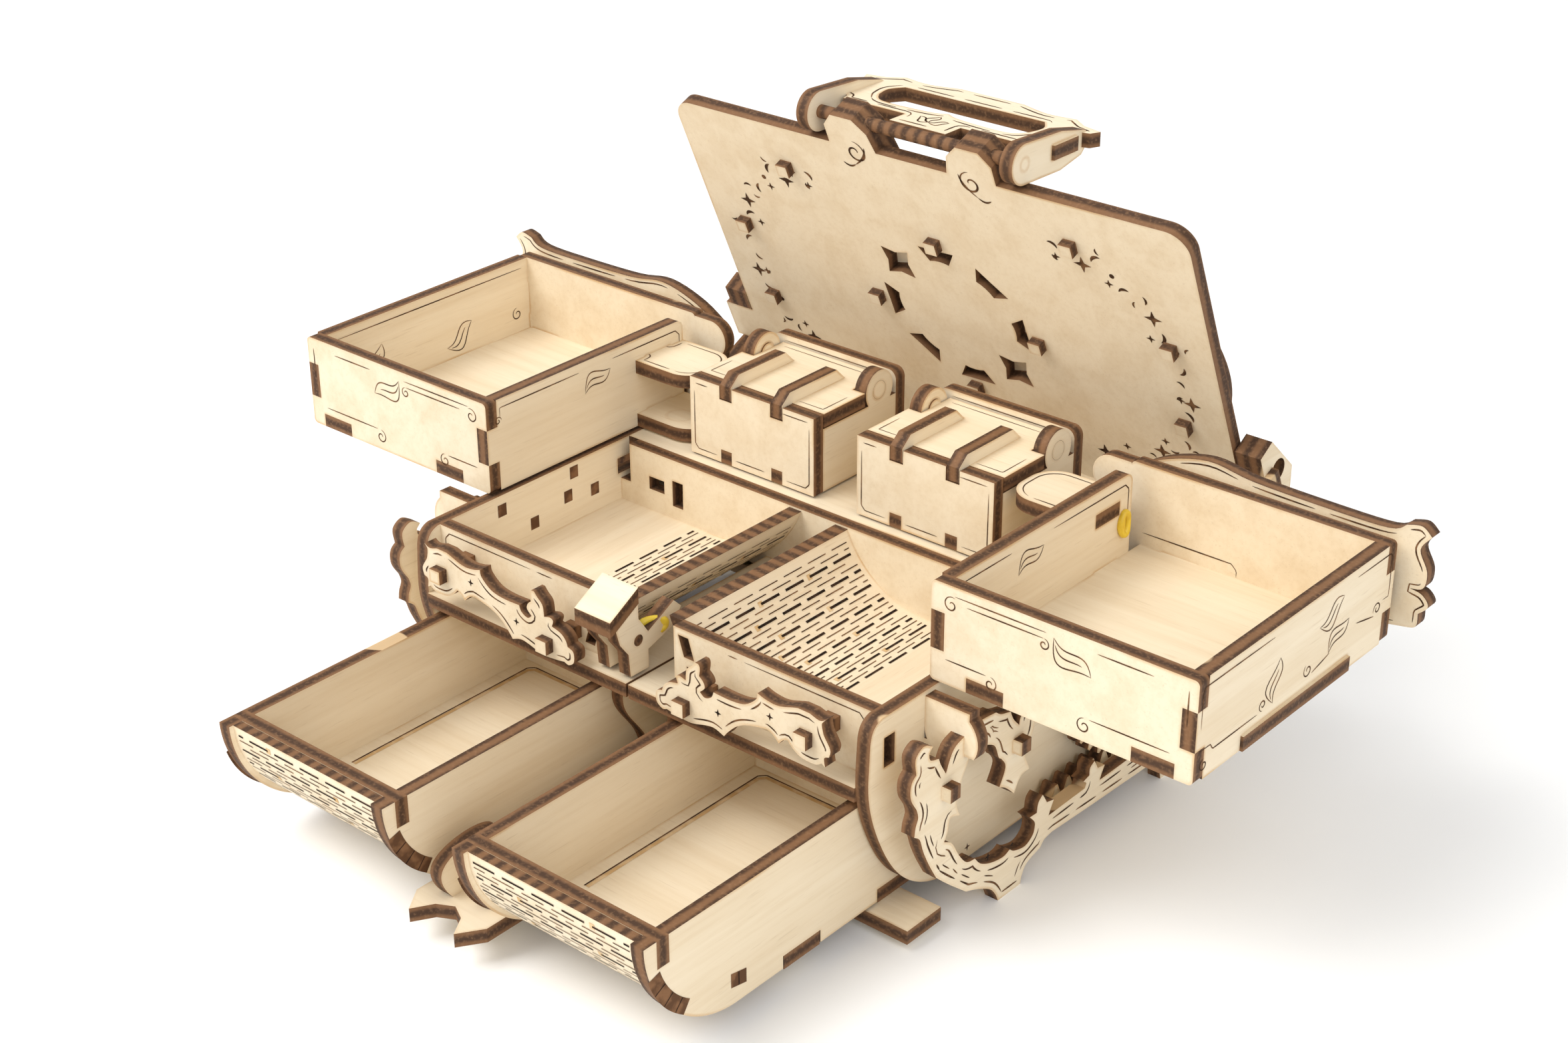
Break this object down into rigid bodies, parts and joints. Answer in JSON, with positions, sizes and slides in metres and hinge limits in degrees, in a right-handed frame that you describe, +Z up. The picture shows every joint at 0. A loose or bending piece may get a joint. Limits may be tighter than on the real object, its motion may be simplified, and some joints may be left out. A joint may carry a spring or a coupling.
{
  "type": "sewing box with trays",
  "caption": "Plywood sewing box standing open: leaning lid with a grip, swung-out trays, pulled-out drawers, lidded small boxes and pierced ornaments.",
  "frame": {"origin": "centre of the case on the surface it rests on", "axes": "+Z up, +Y towards the back where the lid leans, +X to the right seen from the front"},
  "size_m": [0.2384, 0.1754, 0.1252],
  "materials": {
    "ply": "matte",
    "bent_ply": "matte",
    "rods": "matte"
  },
  "bodies": {
    "case": {"side_plate_left": "ply", "side_plate_right": "ply", "front_wall_left": "ply", "front_wall_right": "ply", "front_shelf": "ply", "bent_floor_left": "bent_ply", "bent_floor_right": "bent_ply", "cross_walls": "ply", "deck": "ply", "side_scroll_left": "ply", "side_scroll_right": "ply", "scroll_brackets": "ply", "front_scrolls": "ply", "scroll_pegs": "rods", "foot_bars": "ply", "gear_brackets": "ply", "box_front_left": "ply", "box_front_right": "ply", "box_cheeks_left": "ply", "box_cheeks_right": "ply", "box_floors": "ply", "box_backs": "ply"},
    "lid": {"lid_panel": "ply", "lid_overlays": "ply", "lid_pegs": "rods", "lid_arm_right": "ply", "lid_arm_left": "ply", "lid_shaft": "rods"},
    "handle": {"handle_grip": "ply", "handle_cheeks": "ply"},
    "small_lid_left_body": {"small_lid_left": "ply", "small_ribs_left": "ply"},
    "small_lid_right_body": {"small_lid_right": "ply", "small_ribs_right": "ply"},
    "tray_left": {"tray_end_walls_left": "ply", "tray_side_walls_left": "ply", "tray_floor_left": "ply", "tray_ornament_left": "ply", "tray_post_left": "ply"},
    "tray_right": {"tray_end_walls_right": "ply", "tray_side_walls_right": "ply", "tray_floor_right": "ply", "tray_ornament_right": "ply", "tray_post_right": "ply"},
    "slider_left": {"tray_slider_left": "ply"},
    "slider_right": {"tray_slider_right": "ply"},
    "carriage": {"carriage_plate": "ply", "carriage_fins": "ply", "drawer_floors": "ply", "drawer_cheeks_left": "ply", "drawer_cheeks_right": "ply", "drawer_ends_left": "ply", "drawer_ends_right": "ply", "drawer_skin_left": "bent_ply", "drawer_skin_right": "bent_ply"},
    "drive": {"drive_bar": "ply", "drive_racks": "ply"},
    "pinion_shaft": {"centre_shaft": "rods"},
    "latch": {"latch_cheeks": "ply", "latch_cap": "ply"}
  },
  "joints": [
    {"name": "lid_hinge", "type": "hinge", "parent": "case", "child": "lid", "pos_m": [0, 0.0235, 0.031], "axis": [1, 0, 0], "range_deg": [0, 66]},
    {"name": "handle_hinge", "type": "hinge", "parent": "lid", "child": "handle", "pos_m": [0, 0.03125, 0.12098], "axis": [1, 0, 0], "range_deg": [0, 95]},
    {"name": "small_lid_left_hinge", "type": "hinge", "parent": "case", "child": "small_lid_left_body", "pos_m": [0, 0.0285, 0.0653], "axis": [1, 0, 0], "range_deg": [-95, 0]},
    {"name": "small_lid_right_hinge", "type": "hinge", "parent": "case", "child": "small_lid_right_body", "pos_m": [0, 0.0285, 0.0653], "axis": [1, 0, 0], "range_deg": [-95, 0]},
    {"name": "latch_hinge", "type": "hinge", "parent": "case", "child": "latch", "pos_m": [0, -0.0508, 0.042], "axis": [1, 0, 0], "range_deg": [0, 10], "stiffness_Nm_per_rad": 0.005},
    {"name": "drive_slide", "type": "slide", "parent": "case", "child": "drive", "axis": [0, 1, 0], "range_m": [0, 0.024]},
    {"name": "pinion_spin", "type": "hinge", "parent": "case", "child": "pinion_shaft", "pos_m": [0, -0.011, 0.02125], "axis": [1, 0, 0], "range_deg": [0, 367]},
    {"name": "carriage_slide", "type": "slide", "parent": "case", "child": "carriage", "axis": [0, 1, 0], "range_m": [0, 0.0541]},
    {"name": "slider_left_slide", "type": "slide", "parent": "case", "child": "slider_left", "axis": [0, 1, 0], "range_m": [-0.0087, 0]},
    {"name": "slider_right_slide", "type": "slide", "parent": "case", "child": "slider_right", "axis": [0, 1, 0], "range_m": [-0.0087, 0]},
    {"name": "tray_left_swing", "type": "hinge", "parent": "case", "child": "tray_left", "pos_m": [-0.0493, 0.0142, 0.05], "axis": [0, 0, 1], "range_deg": [0, 90.1]},
    {"name": "tray_right_swing", "type": "hinge", "parent": "case", "child": "tray_right", "pos_m": [0.0493, 0.0142, 0.05], "axis": [0, 0, 1], "range_deg": [-90.1, 0]}
  ],
  "couplings": [
    {"joint": "drive_slide", "follows": "lid_hinge", "m_per_rad": 0.0208},
    {"joint": "pinion_spin", "follows": "lid_hinge", "ratio": 5.5467},
    {"joint": "carriage_slide", "follows": "lid_hinge", "m_per_rad": 0.046869},
    {"joint": "slider_left_slide", "follows": "lid_hinge", "m_per_rad": -0.0075},
    {"joint": "slider_right_slide", "follows": "lid_hinge", "m_per_rad": -0.0075},
    {"joint": "tray_left_swing", "follows": "lid_hinge", "ratio": 1.3636},
    {"joint": "tray_right_swing", "follows": "lid_hinge", "ratio": -1.3636}
  ]
}
